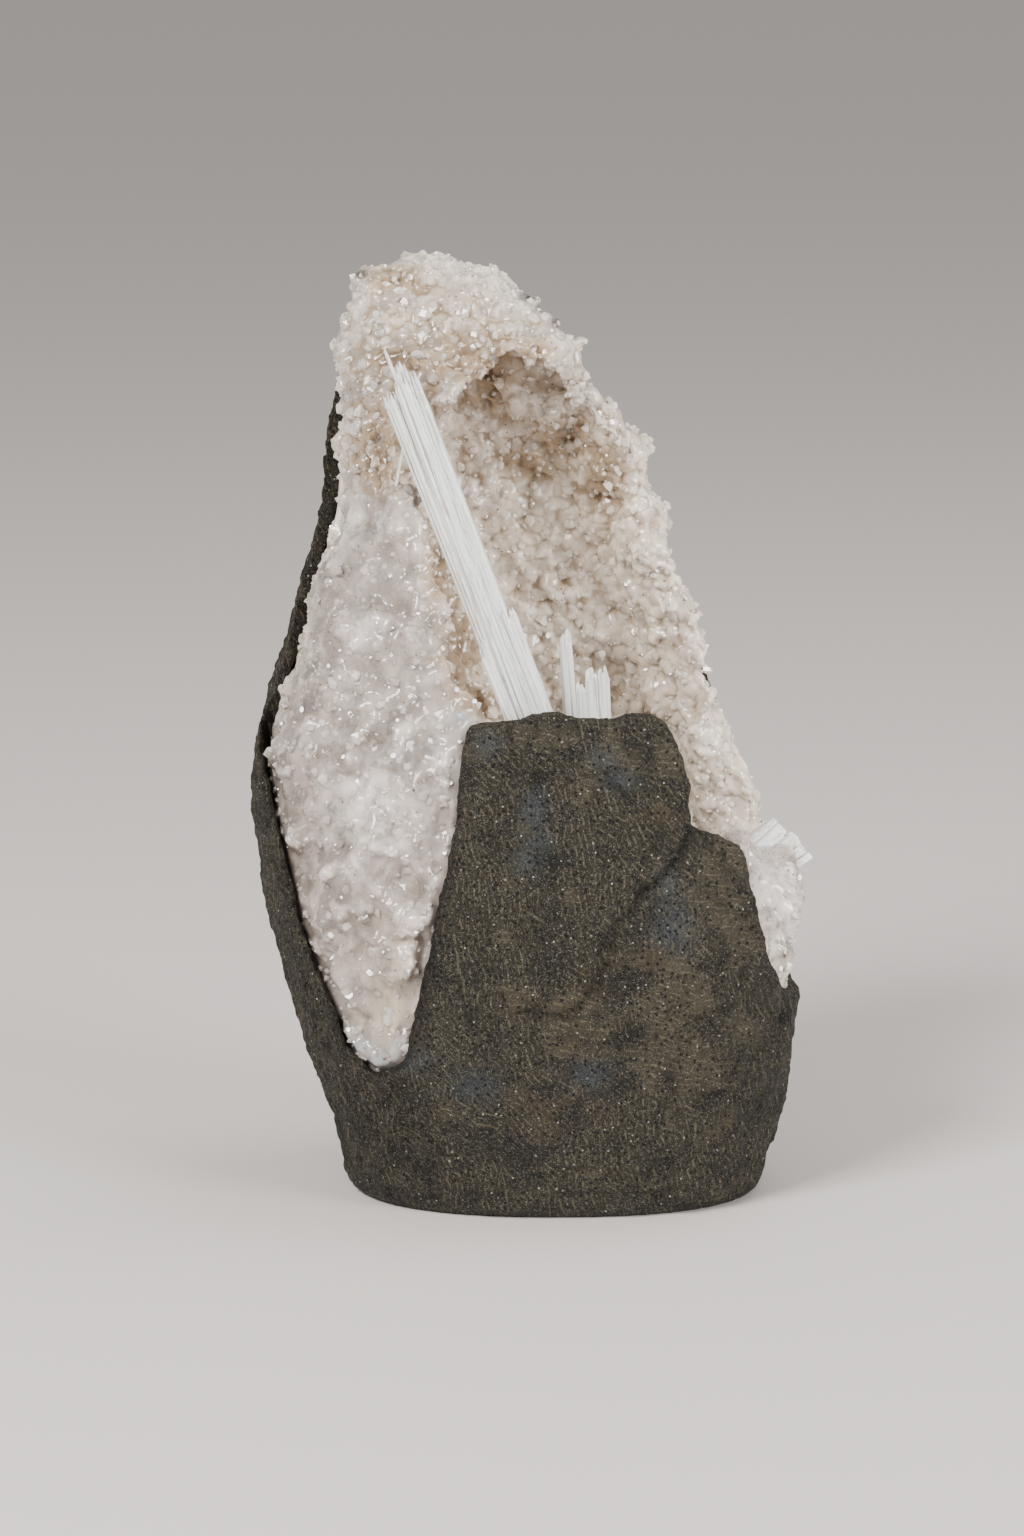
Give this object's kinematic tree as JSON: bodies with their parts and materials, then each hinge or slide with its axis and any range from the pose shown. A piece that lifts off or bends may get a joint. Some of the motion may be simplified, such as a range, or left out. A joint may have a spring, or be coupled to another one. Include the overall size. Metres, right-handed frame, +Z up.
{
  "type": "scolecite geode",
  "caption": "Upright broken geode: dark basalt with a flat foot, a hollow lined with quartz points, and white scolecite sprays.",
  "frame": {"origin": "on the flat foot that the geode stands on, under the shield of basalt that closes the lower front", "axes": "+Z up, -Y towards the open front of the hollow, +X to the right seen from the front"},
  "size_m": [0.0951, 0.0765, 0.16],
  "materials": {
    "basalt": "matt, pitted and finely hatched dark basalt",
    "quartz": "sparkling milky druse, browner in its recesses",
    "scolecite": "white silky needles"
  },
  "bodies": {
    "root": {"basalt_matrix": "basalt", "quartz_crust": "quartz", "scolecite_large_spray": "scolecite", "scolecite_small_spray": "scolecite", "scolecite_broken_stub": "scolecite"}
  },
  "joints": []
}
